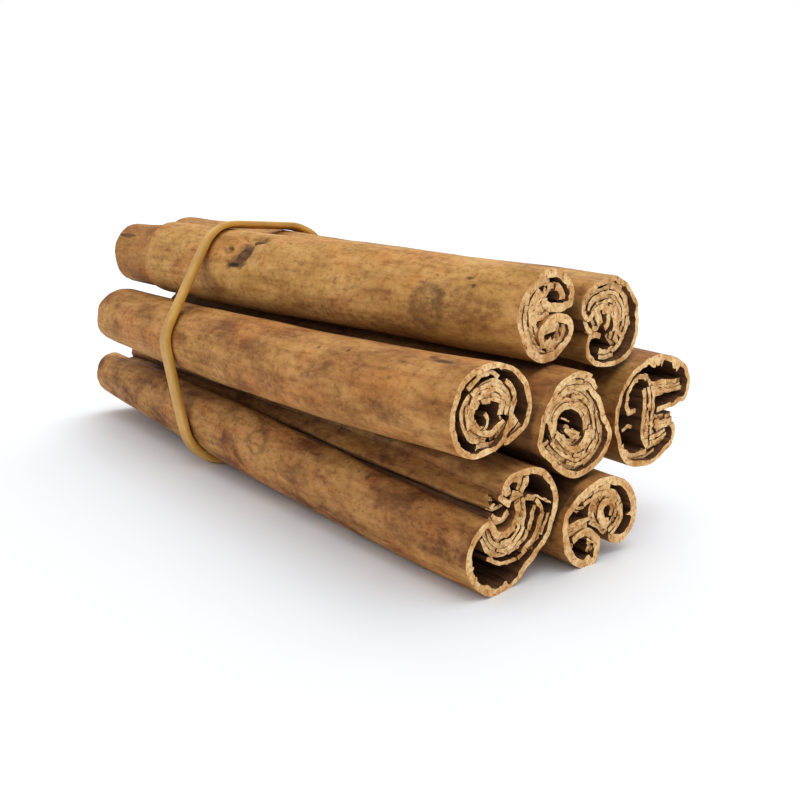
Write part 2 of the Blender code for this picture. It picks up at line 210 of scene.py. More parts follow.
# near, far: middle of the section at either end. heading: direction in which the first bend sets
# out. wall: thickness of the outer sheet. twist, far_size, swell, bow: how the section turns,
# shrinks, swells half way and bends off the straight line. rests: lies on the ground.
# peel: (x, depth) of an outer layer that ends short. teeth: (start, end, depth) of torn fibres
# along stretches of the sheet's width. cover: (thickness, start, points) of the strip over a seam.
# layers: (thickness, copies, pitch, recess, points): an arc through (y, z) points of the section,
# repeated to its left side at that pitch, and set back from the cut end.
QUILLS = {
    "top_left": dict(
        near=(38.0, -1.6, 22.4), far=(-41.2, -6.1, 24.9), heading=80, twist=4,
        far_size=1.17, swell=0.10, bow=(0.0, 0.0), wall=0.8, peel=(-29.6, 0.45),
        bends=[(5.0, 280), (1.0, -5), (3.0, 135), (5.0, 90), (5.0, 65), (8.0, 145), (2.5, 120),
               (2.0, 15), (3.5, 205)],
        layers=[
            (0.56, 1, 0.0, 0.1, [(0.4, 3.1), (-0.9, 2.8), (-2.1, 1.7), (-2.5, 0.0), (-2.3, -1.7),
                                 (-1.3, -3.0), (0.2, -3.45)]),
            (0.42, 3, 0.4, 0.15, [(-1.0, 2.45), (-1.85, 1.3), (-2.05, 0.2), (-1.9, -0.8)]),
            (0.42, 3, 0.4, 0.15, [(-1.95, -0.8), (-1.8, -1.8), (-1.15, -2.7), (-0.2, -3.15)]),
            (0.5, 3, 0.46, 0.2, [(-1.2, -0.35), (-0.4, -0.1), (0.6, 0.2)]),
            (0.5, 1, 0.0, 0.3, [(-0.95, 1.0), (-0.65, 0.75), (-0.4, 0.75)]),
            (0.42, 3, 0.42, 0.1, [(0.3, -3.35), (1.6, -3.0), (2.5, -2.1), (2.75, -1.0)]),
            (0.44, 3, 0.4, 0.2, [(-0.3, -1.65), (0.9, -1.4), (1.9, -1.25)]),
            (0.25, 1, 0.0, 0.2, [(2.0, 2.5), (1.7, 1.9), (1.7, 1.3)]),
            (0.5, 1, 0.0, 0.1, [(0.1, 2.45), (0.9, 2.65), (1.4, 2.3)]),
            (0.4, 1, 0.0, 0.2, [(0.2, 1.2), (-0.2, 1.8), (0.1, 2.4)]),
        ]),
    "top_right": dict(
        near=(38.1, 7.2, 21.2), far=(-39.6, 2.7, 25.9), heading=25, twist=-8,
        far_size=0.95, swell=0.0, bow=(0.2, 0.0), wall=0.55,
        bends=[(1.5, 90), (3.0, 125), (1.5, -120), (2.5, -85), (5.5, -60), (3.0, -45),
               (3.0, -45), (7.5, -100), (3.5, -170), (0.5, -5)],
        layers=[
            (0.46, 1, 0.0, 0.1, [(-3.5, 1.5), (-2.9, 2.5), (-1.4, 3.1), (0.3, 3.2), (1.8, 2.6),
                                 (2.6, 1.3), (2.65, -0.6), (1.9, -2.1), (0.8, -3.0)]),
            (0.4, 4, -0.4, 0.15, [(-3.1, 1.2), (-2.7, 2.1), (-1.2, 2.65), (0.3, 2.7), (1.5, 2.0),
                                  (2.15, 0.8), (2.1, -0.8), (1.4, -2.2)]),
            (0.45, 1, 0.0, 0.1, [(-1.2, 0.95), (-0.3, 1.2), (0.4, 0.6), (0.65, -0.4), (0.5, -1.7)]),
            (0.4, 1, 0.0, 0.1, [(-1.2, 0.7), (-1.5, 0.1), (-1.4, -0.3), (-1.9, -0.5),
                                (-2.4, -0.4)]),
            (0.45, 3, 0.42, 0.2, [(-2.9, 1.0), (-2.2, 0.3), (-1.9, -0.4)]),
            (0.5, 1, 0.0, 0.1, [(-3.75, 1.2), (-3.6, 0.5), (-3.3, -0.2), (-2.9, -0.65),
                                (-2.4, -0.85)]),
            (0.3, 1, 0.0, 0.5, [(1.9, 3.0), (3.0, 1.9), (3.4, 0.6), (3.3, -0.9), (2.6, -2.2)]),
            (0.25, 1, 0.0, 0.7, [(2.4, 2.0), (2.95, 0.9), (3.0, -0.3), (2.7, -1.4)]),
            (0.34, 1, 0.0, 0.3, [(-2.4, 3.3), (-0.8, 3.55), (0.8, 3.45), (1.9, 3.0)]),
            (0.45, 2, 0.5, 0.15, [(-1.2, -3.3), (-0.3, -3.4), (1.0, -3.2)]),
            (0.4, 4, 0.4, 0.2, [(0.0, -1.3), (0.8, -2.1), (1.6, -2.8)]),
        ]),
    "middle_right": dict(
        near=(39.8, 12.3, 12.2), far=(-40.0, 9.8, 15.6), heading=0, twist=10,
        far_size=0.92, swell=0.0, bow=(0.0, 0.3), wall=0.6, teeth=((8.0, 13.5, 1.2),),
        bends=[(3.5, 35), (4.0, 115), (6.5, 50), (4.0, 45), (5.5, 50), (3.0, 55), (6.5, 55),
               (2.5, 165), (1.5, -5)],
        layers=[
            (0.42, 3, -0.42, 0.1, [(-0.5, 2.7), (1.5, 2.6), (3.3, 2.45), (4.7, 2.5)]),
            (0.45, 1, 0.0, 0.2, [(-0.2, 1.45), (1.2, 1.35), (2.3, 1.5)]),
            (0.4, 5, 0.42, 0.1, [(-1.4, 2.2), (-1.1, 0.7), (-1.2, -0.9), (-1.2, -2.3),
                                 (-0.5, -3.8)]),
            (0.46, 1, 0.0, 0.1, [(-0.9, 3.4), (-2.2, 3.6), (-3.4, 2.7), (-3.9, 1.2), (-3.5, 0.1),
                                 (-2.4, 0.15)]),
            (0.26, 1, 0.0, 0.0, [(-1.1, 3.5), (-0.6, 2.9), (-0.3, 2.2)]),
            (0.5, 1, 0.0, 0.1, [(-4.4, -2.9), (-3.7, -3.8), (-2.2, -4.15), (-0.5, -4.1)]),
            (0.35, 1, 0.0, 0.3, [(-3.9, -3.9), (-2.6, -4.65), (-0.9, -4.75), (0.9, -4.3)]),
            (0.42, 3, 0.44, 0.1, [(0.0, -3.8), (1.5, -3.6), (2.7, -3.2)]),
            (0.5, 3, -0.42, 0.1, [(0.6, -0.8), (1.8, -1.0), (3.3, -0.9)]),
            (0.3, 1, 0.0, 0.8, [(-3.6, -1.7), (-2.8, -1.4), (-2.2, -1.6)]),
        ]),
    "centre": dict(
        near=(41.2, -1.15, 13.0), far=(-36.0, -0.2, 15.4), heading=150, twist=12,
        far_size=0.90, swell=0.0, bow=(0.0, 0.0), wall=0.6,
        bends=[(2.0, 35), (7.5, 80), (1.5, 60), (2.5, -10), (7.0, 95), (3.0, 75), (1.5, -15),
               (7.5, 125), (3.0, 80), (3.5, 45), (2.0, 110)],
        layers=[
            (0.34, 6, 0.35, 0.1, [(-2.2, 0.4), (-1.9, 1.2), (-0.9, 1.7), (0.6, 1.3), (1.5, 0.3),
                                  (1.8, -1.0)]),
            (0.34, 6, 0.36, 0.1, [(-3.3, -1.7), (-1.6, -3.1), (0.5, -4.0), (2.4, -3.6),
                                  (3.7, -2.3), (4.05, -0.6)]),
            (0.38, 3, 0.38, 0.4, [(-1.8, -1.2), (-0.6, -2.1), (0.8, -2.2), (1.7, -1.7)]),
            (0.4, 2, 0.4, 0.15, [(-2.7, 0.9), (-2.6, -0.3), (-2.1, -1.4)]),
            (0.35, 2, 0.4, 0.2, [(-1.1, -0.3), (0.1, -1.0), (1.1, -1.4)]),
            (0.15, 1, 0.0, 0.0, [(-1.5, 0.9), (-0.9, 0.6), (-0.5, 0.4)]),
            (0.4, 3, -0.38, 0.2, [(3.4, 1.6), (3.8, 0.2), (4.1, -1.2)]),
            (0.45, 2, 0.42, 0.15, [(-0.9, 3.85), (0.8, 3.75), (2.0, 3.3), (2.8, 2.6)]),
            (0.4, 1, 0.0, 0.2, [(-3.9, -1.4), (-3.3, -1.2), (-2.9, -0.9)]),
        ]),
    "middle_left": dict(
        near=(40.8, -10.75, 15.8), far=(-38.0, -9.45, 16.05), heading=-125, twist=-6,
        far_size=0.99, swell=0.03, bow=(-0.25, -0.6), wall=0.55,
        bends=[(2.0, -55), (2.5, -90), (3.5, -85), (5.5, -135), (4.0, -45), (3.0, -70),
               (7.0, -100), (6.0, -70), (4.0, -85), (2.5, -45)],
        layers=[
            (0.4, 4, 0.39, 0.1, [(1.9, -0.8), (2.1, 0.6), (1.2, 1.6), (-0.4, 2.0), (-2.0, 1.6),
                                 (-3.1, 0.4), (-3.0, -1.2), (-2.1, -2.3), (-0.8, -2.7)]),
            (0.44, 1, 0.0, 0.1, [(-2.6, 1.9), (-1.4, 2.85), (0.1, 2.95), (0.9, 2.4)]),
            (0.44, 1, 0.0, 0.1, [(2.3, -0.9), (2.6, 0.4), (2.3, 1.4), (1.5, 2.1)]),
            (0.3, 1, 0.0, 0.0, [(-0.9, -0.3), (-0.4, -0.8), (-0.6, -1.5), (-1.2, -1.8)]),
            (0.2, 1, 0.0, 0.0, [(1.0, -0.7), (1.15, -1.4), (0.9, -2.1)]),
            (0.45, 3, 0.4, 0.2, [(0.2, -1.8), (0.4, -2.5), (0.0, -3.3)]),
            (0.45, 3, 0.42, 0.1, [(0.8, -2.9), (2.2, -2.6), (3.4, -1.7)]),
            (0.4, 1, 0.0, 0.5, [(-1.6, -1.0), (-1.1, -1.5), (-0.4, -1.9)]),
            (0.4, 2, 0.4, 0.2, [(-1.6, -3.3), (-0.5, -3.35), (0.6, -3.2)]),
        ]),
    "bottom_left": dict(
        near=(41.6, -8.75, 5.4), far=(-46.0, -6.4, 4.9), heading=-75, twist=-30,
        far_size=0.91, swell=0.13, bow=(-0.3, 0.0), rests=True, wall=0.6,
        teeth=((8.0, 16.0, 0.6),),
        cover=(0.6, 1.3, [(-0.8, 4.2), (-1.35, 3.55), (-2.1, 2.95), (-2.8, 2.4), (-2.6, 2.0)]),
        bends=[(3.5, -110), (1.5, -70), (1.0, 95), (4.0, 80), (8.0, 120), (1.5, -15), (6.0, 65),
               (2.0, 40), (5.5, 70), (3.0, 140)],
        layers=[
            (0.38, 3, 0.37, 0.1, [(-3.3, 0.4), (-2.9, -0.7), (-1.8, -1.6), (-0.3, -1.7),
                                  (1.0, -0.7), (1.4, 0.8), (1.1, 2.4)]),
            (0.42, 1, 0.0, 0.1, [(-3.5, -0.3), (-2.8, -1.6), (-1.2, -2.25), (0.8, -2.0),
                                 (2.0, -0.9), (2.6, 0.5), (2.8, 1.3)]),
            (0.36, 1, 0.0, 0.2, [(-2.9, -2.2), (-1.2, -3.05), (0.5, -3.0), (1.8, -2.5)]),
            (0.42, 1, 0.0, 0.1, [(1.0, -2.4), (2.4, -1.5), (3.2, -0.2), (3.4, 0.9), (2.6, 1.9),
                                 (1.5, 2.2)]),
            (0.3, 3, 0.36, 0.3, [(2.4, -2.7), (3.5, -1.8), (4.2, -0.6), (4.4, 0.3)]),
            (0.3, 1, 0.0, 0.6, [(0.2, -2.6), (1.3, -1.9), (2.0, -0.9)]),
            (0.75, 1, 0.0, 0.1, [(-0.5, 2.9), (-0.75, 3.7), (-0.3, 4.2), (0.5, 4.2), (0.9, 3.7),
                                 (0.6, 3.1)]),
            (0.4, 2, 0.35, 0.1, [(1.2, 4.2), (1.2, 3.6), (0.8, 3.0)]),
            (0.18, 1, 0.0, 0.0, [(1.5, 2.5), (2.8, 2.2), (3.9, 1.6), (4.6, 1.3)]),
            (0.5, 2, 0.4, 0.2, [(-0.2, 2.5), (0.6, 2.4), (1.4, 2.6)]),
            (0.32, 2, 0.32, 0.25, [(-2.65, 1.3), (-2.0, 0.75), (-1.1, 0.65), (-0.2, 1.2)]),
            (0.3, 1, 0.0, 0.9, [(-2.5, 2.0), (-1.6, 1.7), (-0.5, 2.0)]),
            (0.3, 1, 0.0, 1.4, [(-1.9, 2.6), (-1.2, 2.3), (-0.5, 2.5)]),
        ]),
    "bottom_right": dict(
        near=(42.3, 1.75, 3.9), far=(-40.0, 4.6, 4.3), heading=170, twist=20,
        far_size=0.97, swell=0.0, bow=(0.0, 0.0), rests=True, wall=0.75,
        teeth=((10.5, 16.0, 1.8), (27.0, 37.0, 0.9)),
        bends=[(3.0, -170), (3.5, -110), (1.0, -45), (1.0, 130), (4.0, 115), (5.5, 75),
               (7.5, 75), (2.5, 50), (4.0, 70), (4.5, 175), (2.0, 35)],
        layers=[
            (0.4, 3, 0.39, 0.1, [(1.7, -1.8), (2.9, -1.0), (3.15, 0.4), (2.4, 1.9), (0.9, 2.6),
                                 (-0.5, 2.3), (-1.3, 1.2), (-1.1, 0.2)]),
            (0.5, 2, 0.45, 0.1, [(0.3, 0.5), (0.6, 1.3), (1.4, 1.5), (2.1, 0.8), (1.9, -0.1)]),
            (0.4, 2, -0.4, 0.1, [(-2.4, 2.3), (-1.2, 2.75), (0.2, 2.95), (1.4, 2.8)]),
            (0.42, 3, 0.4, 0.15, [(-3.9, -0.7), (-2.6, -0.5), (-1.4, -0.4)]),
            (0.4, 2, 0.4, 0.2, [(-1.0, -0.1), (0.1, -0.7), (1.2, -1.7)]),
            (0.18, 1, 0.0, 0.0, [(-1.8, -1.4), (-1.1, -1.8), (-0.5, -2.1)]),
            (0.4, 1, 0.0, 0.3, [(-2.9, -1.1), (-3.3, -2.1)]),
            (0.3, 2, 0.3, 0.2, [(-1.3, -2.9), (-0.95, -2.2), (-1.2, -1.6)]),
            (0.25, 1, 0.0, 0.7, [(-3.9, 1.1), (-3.1, 1.3), (-2.2, 1.0)]),
            (0.25, 1, 0.0, 0.5, [(-3.3, 2.0), (-2.6, 1.5), (-1.8, 1.5)]),
            (0.4, 1, 0.0, 0.4, [(0.9, 0.4), (1.2, 0.0), (1.0, -0.5)]),
        ]),
}


# --- shapes -----------------------------------------------------------------------------------

def spread(places, cell):
    """Weights that carry values from a line of cells to places along it, smoothly."""
    cells = (places - places.min()) / cell
    first = np.floor(cells).astype(int)
    share = cells - first
    share = share * share * (3.0 - 2.0 * share)
    weights = np.zeros((len(places), first.max() + 2))
    rows = np.arange(len(places))
    weights[rows, first] = 1.0 - share
    weights[rows, first + 1] = share
    return weights


def uneven(rng, along, across, cell_along, cell_across):
    """Smooth random values from -1 to 1 over a sheet, a new one in every cell (mm)."""
    down = spread(along, cell_along)
    over = spread(across, cell_across)
    return down @ rng.uniform(-1.0, 1.0, (down.shape[1], over.shape[1])) @ over.T


def ripple(rng, along, across, *kinds):
    """Unevenness of the given kinds, (height, length, width), laid over each other on a sheet."""
    return sum(height * uneven(rng, along, across, length, width)
               for height, length, width in kinds)


def follow_bends(quill):
    """Outer face of the outer sheet in (y, z), anticlockwise, with the width to each point."""
    side = math.copysign(1.0, sum(turn for _, turn in quill["bends"]))
    heading = math.radians(quill["heading"])
    place = np.zeros(2)
    places, headings, widths = [place], [heading], [0.0]
    for width, turn in quill["bends"]:
        steps = math.ceil(width / ACROSS_STEP)
        half_turn = math.radians(turn) / steps / 2
        for _ in range(steps):
            heading += half_turn
            place = place + np.array((math.cos(heading), math.sin(heading))) * width / steps
            heading += half_turn
            places.append(place)
            headings.append(heading)
            widths.append(widths[-1] + width / steps)
    out = np.stack([np.sin(headings), -np.cos(headings)], axis=1) * side
    face = np.array(places) + out * BARK / 2
    face = face - (face.min(axis=0) + face.max(axis=0)) / 2
    widths = np.array(widths)
    if side < 0:
        return face[::-1], out[::-1], widths[-1] - widths[::-1]
    return face, out, widths


def smooth_arc(points):
    """A smooth curve through the points, with its left-hand side and the width to each point."""
    points = np.array(points, float)
    ends = np.vstack([2 * points[0] - points[1], points, 2 * points[-1] - points[-2]])
    share = np.linspace(0.0, 1.0, ARC_POINTS, endpoint=False)[:, None]
    runs = []
    for a, b, c, d in zip(ends, ends[1:], ends[2:], ends[3:]):
        runs.append(b + 0.5 * share * (c - a + share * (2 * a - 5 * b + 4 * c - d
                                                         + share * (3 * (b - c) + d - a))))
    fine = np.vstack(runs + [points[-1:]])
    length = np.concatenate([[0.0], np.cumsum(np.linalg.norm(np.diff(fine, axis=0), axis=1))])
    widths = np.linspace(0.0, length[-1], max(math.ceil(length[-1] / LAYER_STEP), 3) + 1)
    arc = np.stack([np.interp(widths, length, fine[:, k]) for k in (0, 1)], axis=1)
    ahead = np.gradient(arc, axis=0)
    ahead /= np.linalg.norm(ahead, axis=1)[:, None]
    return arc, np.stack([-ahead[:, 1], ahead[:, 0]], axis=1), widths


def distances(length, near_rows, step):
    """Distances from the near end: close together at both ends, and a step apart between."""
    near_rows = np.array(near_rows)
    first, last = near_rows[-1], length - near_rows[-1]
    middle = np.linspace(first, last, math.ceil((last - first) / step) + 1)[1:-1]
    return np.concatenate([near_rows, middle, length - near_rows[::-1]])


def lift(from_near, from_near_to_band):
    """Height of a lowest quill above the ground: the band runs under it and lifts it."""
    rise = (BAND_GAP + BAND_THICKNESS) / (from_near_to_band - LEVEL_LENGTH)
    return np.maximum(from_near - LEVEL_LENGTH, 0.0) * rise


def sweep(quill, shape, shares, rests=False):
    """Section points (y, z) carried along a quill to every share of its length, as (x, y, z).

    A sheet that rests is set on the ground by its lowest line.
    """
    near, far = np.array(quill["near"]), np.array(quill["far"])
    share = np.asarray(shares)[:, None]
    arch = np.sin(math.pi * share)
    size = 1.0 + (quill["far_size"] - 1.0) * share + quill["swell"] * arch
    angle = math.radians(quill["twist"]) * share
    y = size * (shape[..., 0] * np.cos(angle) - shape[..., 1] * np.sin(angle))
    z = size * (shape[..., 0] * np.sin(angle) + shape[..., 1] * np.cos(angle))
    x = near[0] + (far[0] - near[0]) * share + 0.0 * y
    y = y + near[1] + (far[1] - near[1]) * share + quill["bow"][0] * arch
    z = z + near[2] + (far[2] - near[2]) * share + quill["bow"][1] * arch
    if rests:
        lowest = sweep(quill, follow_bends(quill)[0][None], shares)[..., 2].min(axis=1)
        floor = lift(near[0] - x, near[0] - BAND_UNDER_X)
        z = np.maximum(z - (lowest[:, None] + LEVEL - floor), floor)
    return np.stack([x, y, z], axis=2)


def sheet(name, places, walls, materials, stain=None):
    """A grid of places becomes a sheet of bark: Solidify gives it the wall at each place.

    The wall grows to the left of the sheet as it is followed. Its outside, inside and cut edges
    take the three materials.
    """
    rows, columns = walls.shape
    bpy.ops.mesh.primitive_grid_add(x_subdivisions=columns - 1, y_subdivisions=rows - 1,
                                    size=1.0, calc_uvs=False, location=(0.0, 0.0, 0.0))
    obj = bpy.context.object
    obj.name = name
    mesh = obj.data
    mesh.name = name
    flat = np.empty(len(mesh.vertices) * 3)
    mesh.vertices.foreach_get("co", flat)
    flat = flat.reshape(-1, 3)
    column = np.rint((flat[:, 0] + 0.5) * (columns - 1)).astype(int)
    row = (rows - 1) - np.rint((flat[:, 1] + 0.5) * (rows - 1)).astype(int)
    mesh.vertices.foreach_set("co", ((places[row, column] - MIDDLE) * MM).ravel())
    if stain is not None:
        layer = mesh.attributes.new("stain", "FLOAT", "POINT")
        layer.data.foreach_set("value", stain[row, column].astype(np.float32))
    group = obj.vertex_groups.new(name="wall")
    thickest = walls.max()
    shares = walls[row, column] / thickest
    for index, share in enumerate(shares):
        group.add([index], float(share), "REPLACE")
    solid = obj.modifiers.new("wall", "SOLIDIFY")
    solid.thickness = float(thickest) * MM
    solid.offset = -1.0
    solid.vertex_group = group.name
    solid.material_offset = 1
    solid.material_offset_rim = 2
    for material in materials:
        mesh.materials.append(material)
    bpy.ops.object.modifier_apply(modifier=solid.name)
    obj.vertex_groups.clear()
    for face in mesh.polygons:
        if face.material_index == 2 and abs(face.normal.x) < ALONG_EDGE:
            face.material_index = 1
    return obj


def join(pieces, name):
    """Sheets of one kind become one piece."""
    bpy.ops.object.select_all(action="DESELECT")
    for piece in pieces:
        piece.select_set(True)
    bpy.context.view_layer.objects.active = pieces[0]
    if len(pieces) > 1:
        bpy.ops.object.join()
    piece = bpy.context.object
    piece.name = name
    piece.data.name = name
    bpy.ops.object.shade_smooth_by_angle(angle=math.radians(SHARP_EDGE))
    return piece


# --- quills -----------------------------------------------------------------------------------

def buried(face):
    """1 where a section's outline runs inside a farther turn of the same sheet, 0 elsewhere."""
    radius = np.linalg.norm(face, axis=1)
    bearing = np.arctan2(face[:, 1], face[:, 0])
    apart = np.abs(np.angle(np.exp(1j * (bearing[:, None] - bearing[None]))))
    farthest = np.where(apart < BESIDE, radius[None], 0.0).max(axis=1)
    return (radius < BURIED * farthest).astype(float)


def outer_sheet(name, quill, rng, materials):
    """The sheet that wraps a quill. Its cut ends are a little torn, and its face is uneven."""
    face, out, widths = follow_bends(quill)
    length = quill["near"][0] - quill["far"][0]
    rests = quill.get("rests", False)
    along = distances(length, END_ROWS, ALONG_STEP)
    peel_from = length + 1.0
    if "peel" in quill:
        peel_x, peel_depth = quill["peel"]
        peel_from = quill["near"][0] - peel_x
        along = np.sort(np.concatenate([along, [peel_from, peel_from + PEEL_SLOPE]]))
    rough = ripple(rng, along, widths, RIPPLE_FINE, RIPPLE_MIDDLE)
    from_end = np.minimum(along, length - along)[:, None]
    settled = np.clip(from_end / RIPPLE_SETTLES, 0.15, 1.0)
    rough += settled * ripple(rng, along, widths, RIPPLE_COARSE)
    inside_roll = buried(face)
    rough += inside_roll * ripple(rng, along, widths, RIPPLE_BURIED)
    flush = sweep(quill, face[None] + 0.0 * along[:, None, None], along / length, rests)
    for kind, centre, radii in MARKS.get(name[len("quill_"):], ()):
        if kind == "knot":
            reach = np.linalg.norm((flush - centre) / radii, axis=2)
            rough -= KNOT_DEPTH * np.clip(1.3 - reach, 0.0, 1.0)
    shape = face[None] + out[None] * rough[..., None]
    bare = (along > peel_from + PEEL_SLOPE / 2).astype(float)[:, None]
    if "peel" in quill:
        radius = np.linalg.norm(shape, axis=2)
        gone = bare * peel_depth * np.clip(radius - PEEL_CORE, 0.0, 1.0)
        shape *= (1.0 - gone / radius)[..., None]
    places = sweep(quill, shape, along / length, rests)
    torn = ripple(rng, along, widths, *TORN)
    broken = rng.uniform(0.0, CUT_BACK, len(widths) // FLAKE_POINTS + 1)
    torn -= inside_roll * np.repeat(broken, FLAKE_POINTS)[:len(widths)]
    toward_middle = np.sign(along - length / 2)[:, None]
    places[..., 0] -= toward_middle * torn * np.clip(1.0 - from_end / END_ROWS[-1], 0.0, 1.0)
    if "peel" in quill:
        near_peel = np.clip(1.0 - np.abs(along - peel_from) / PEEL_RAGGED, 0.0, 1.0)[:, None]
        places[..., 0] += near_peel * ripple(rng, along, widths, PEEL_TORN)
    at_end = np.clip(1.0 - from_end / TOOTH_REACH, 0.0, 1.0)
    walls = quill["wall"] * (1.0 + ripple(rng, along, widths, UNEVEN_WALL))
    teeth = ripple(rng, along, widths, *TEETH)
    walls = walls - TOOTH_DEPTH * at_end * np.maximum(teeth, 0.0)
    for start, end, depth in quill.get("teeth", ()):
        inside = (widths > start) & (widths < end)
        walls = walls + depth * at_end * inside * np.maximum(teeth - 0.1, 0.0)
    return sheet(name, places, walls, materials, stain=bare + 0.0 * walls)


def cover_sheet(name, quill, rng, materials):
    """A strip of bark that closes the seam between the two scrolls of a quill."""
    thickness, starts, points = quill["cover"]
    arc, left, widths = smooth_arc(points)
    length = quill["near"][0] - quill["far"][0]
    along = starts + distances(length - starts - CUT_BACK, END_ROWS, COVER_STEP)
    from_start = along[:, None] - starts
    wave = ripple(rng, along, widths, COVER_RIPPLE)
    wave -= COVER_SINK * np.clip(1.0 - from_start / 4.0, 0.0, 1.0)
    shape = arc[None] - left[None] * wave[..., None]
    shape = shape + ripple(rng, along, np.array((0.0, 1.0)), COVER_WAVER)[:, :1, None]
    places = sweep(quill, shape, along / length)
    torn = ripple(rng, along, widths, COVER_TORN)
    places[..., 0] += torn * np.clip(1.0 - from_start / 2.0, 0.0, 1.0)
    walls = thickness * (1.0 + ripple(rng, along, widths, COVER_WALL))
    return sheet(name, places, walls, materials, stain=0.0 * walls)


def packed_mass(name, quill, rng, layer, materials):
    """The fine layers behind a pack of sheets, too close to tell apart, as one thick sheet."""
    thickness, copies, pitch, recess, points = layer
    arc, left, widths = smooth_arc(points)
    length = quill["near"][0] - quill["far"][0]
    cut_back = recess + CUT_BACK
    along = cut_back + distances(length - 2 * cut_back, LAYER_ROWS, LAYER_ALONG_STEP)
    depth = abs(pitch) * (copies - 1) + 0.8 * thickness
    first = min(0.0, pitch * (copies - 1)) - 0.4 * thickness
    shape = arc[None] + left[None] * (first + 0.0 * along[:, None, None])
    walls = depth * (1.0 - MASS_WALL[0] + ripple(rng, along, widths, MASS_WALL))
    return sheet(name, sweep(quill, shape, along / length), walls, materials)


def inner_sheets(name, quill, rng, materials, packed):
    """The sheets packed inside a quill. They are broken, and end a little apart at the cut."""
    length = quill["near"][0] - quill["far"][0]
    pieces = []
    for layer in quill["layers"]:
        thickness, copies, pitch, recess, points = layer
        arc, left, widths = smooth_arc(points)
        if copies > 1:
            pieces.append(packed_mass(name, quill, rng, layer, (*materials[:2], packed)))
        for copy in range(copies):
            start = 0
            while start < len(widths) - 2:
                end = start + max(round(rng.uniform(*FLAKE_WIDTH) / LAYER_STEP), 2)
                if end > len(widths) - 4:
                    end = len(widths) - 1
                part = slice(start, end + 1)
                start = end
                cut_back = recess + rng.uniform(0.0, CUT_BACK)
                along = cut_back + distances(length - 2 * cut_back, LAYER_ROWS, LAYER_ALONG_STEP)
                across = widths[part]
                shift = pitch * copy - thickness / 2 + rng.uniform(-LAYER_SHIFT, LAYER_SHIFT)
                wave = shift + ripple(rng, along, across, *LAYER_RIPPLES)
                shape = arc[part][None] + left[part][None] * wave[..., None]
                places = sweep(quill, shape, along / length)
                from_end = np.minimum(along, along[::-1])[:, None] - cut_back
                torn = ripple(rng, along, across, LAYER_TORN)
                places[..., 0] += torn * np.clip(1.0 - from_end / 2.0, 0.0, 1.0)
                walls = thickness * (1.0 + ripple(rng, along, across, LAYER_WALL))
                pieces.append(sheet(name, places, walls, materials))
    return pieces


def crumbs(name, quill, rng, material):
    """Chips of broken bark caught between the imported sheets, at both ends of a quill."""
    bpy.ops.mesh.primitive_ico_sphere_add(subdivisions=1, radius=1.0)
    chips = bpy.context.object
    chips.name = name
    flat = np.empty(len(chips.data.vertices) * 3)
    chips.data.vertices.foreach_get("co", flat)
    corners = flat.reshape(-1, 3)
    faces = np.array([list(face.vertices) for face in chips.data.polygons])
    arcs = [(layer, *smooth_arc(layer[4])) for layer in quill["layers"]]
    reach = np.array([widths[-1] * layer[1] for layer, _, _, widths in arcs])
    length = quill["near"][0] - quill["far"][0]
    places = []
    for end in (0, 1):
        for pick in rng.choice(len(arcs), CRUMBS, p=reach / reach.sum()):
            (thickness, copies, pitch, recess, _), arc, left, widths = arcs[pick]
            spot = rng.integers(1, len(widths) - 1)
            depth = rng.uniform(-thickness, thickness) / 2 + pitch * rng.uniform(0, copies - 1)
            size = rng.uniform(*CRUMB_SIZE)
            lump = corners * rng.uniform(0.5, 1.0, corners.shape) * CRUMB_SHAPE * size
            ahead = np.array((left[spot][1], -left[spot][0]))
            shape = arc[spot] + left[spot] * (depth + lump[:, 2:]) + ahead * lump[:, 1:2]
            inward = recess + CUT_BACK * rng.uniform(0.1, 1.0) + lump[:, 0]
            share = inward / length if end == 0 else 1.0 - inward / length
            swept = [sweep(quill, point[None, None], [at])[0, 0]
                     for point, at in zip(shape, share)]
            places.append(np.array(swept))
    count = len(corners)
    mesh = bpy.data.meshes.new(name)
    mesh.from_pydata(((np.vstack(places) - MIDDLE) * MM).tolist(), [],
                     np.vstack([faces + count * k for k in range(len(places))]).tolist())
    mesh.materials.append(material)
    spare = chips.data
    chips.data = mesh
    bpy.data.meshes.remove(spare)
    return chips


# --- materials --------------------------------------------------------------------------------

def linear(colour):
    """The linear red, green, blue and full alpha of an sRGB colour written as 0xRRGGBB."""
    shares = [(colour >> shift & 0xFF) / 255.0 for shift in (16, 8, 0)]
    return [s / 12.92 if s <= 0.04045 else ((s + 0.055) / 1.055) ** 2.4 for s in shares] + [1.0]


def add(tree, kind, inputs=None, stops=(), **settings):
    """Adds a node with its settings, its colour stops, and its inputs as values or links."""
    node = tree.nodes.new(kind)
    for name, value in settings.items():
        setattr(node, name, value)
    for key, value in (inputs or {}).items():
        if isinstance(value, bpy.types.NodeSocket):
            tree.links.new(value, node.inputs[key])
        else:
            node.inputs[key].default_value = value
    while stops and len(node.color_ramp.elements) < len(stops):
        node.color_ramp.elements.new(1.0)
    for element, (place, colour) in zip(node.color_ramp.elements if stops else (), stops):
        element.position = place
        element.color = linear(colour)
    return node


def maths(tree, operation, *values):
    """The result of a sum with the values."""
    return add(tree, "ShaderNodeMath", dict(enumerate(values)), operation=operation).outputs[0]


def stretch(tree, value, low, high, to_low, to_high):
    """A value from low to high becomes one from to_low to to_high."""
    return add(tree, "ShaderNodeMapRange", {"Value": value, "From Min": low, "From Max": high,
                                            "To Min": to_low, "To Max": to_high}).outputs[0]


def ramp(tree, value, *stops):
    """The colour that the stops, (place, colour), give for a value."""
    return add(tree, "ShaderNodeValToRGB", {"Fac": value}, stops).outputs["Color"]


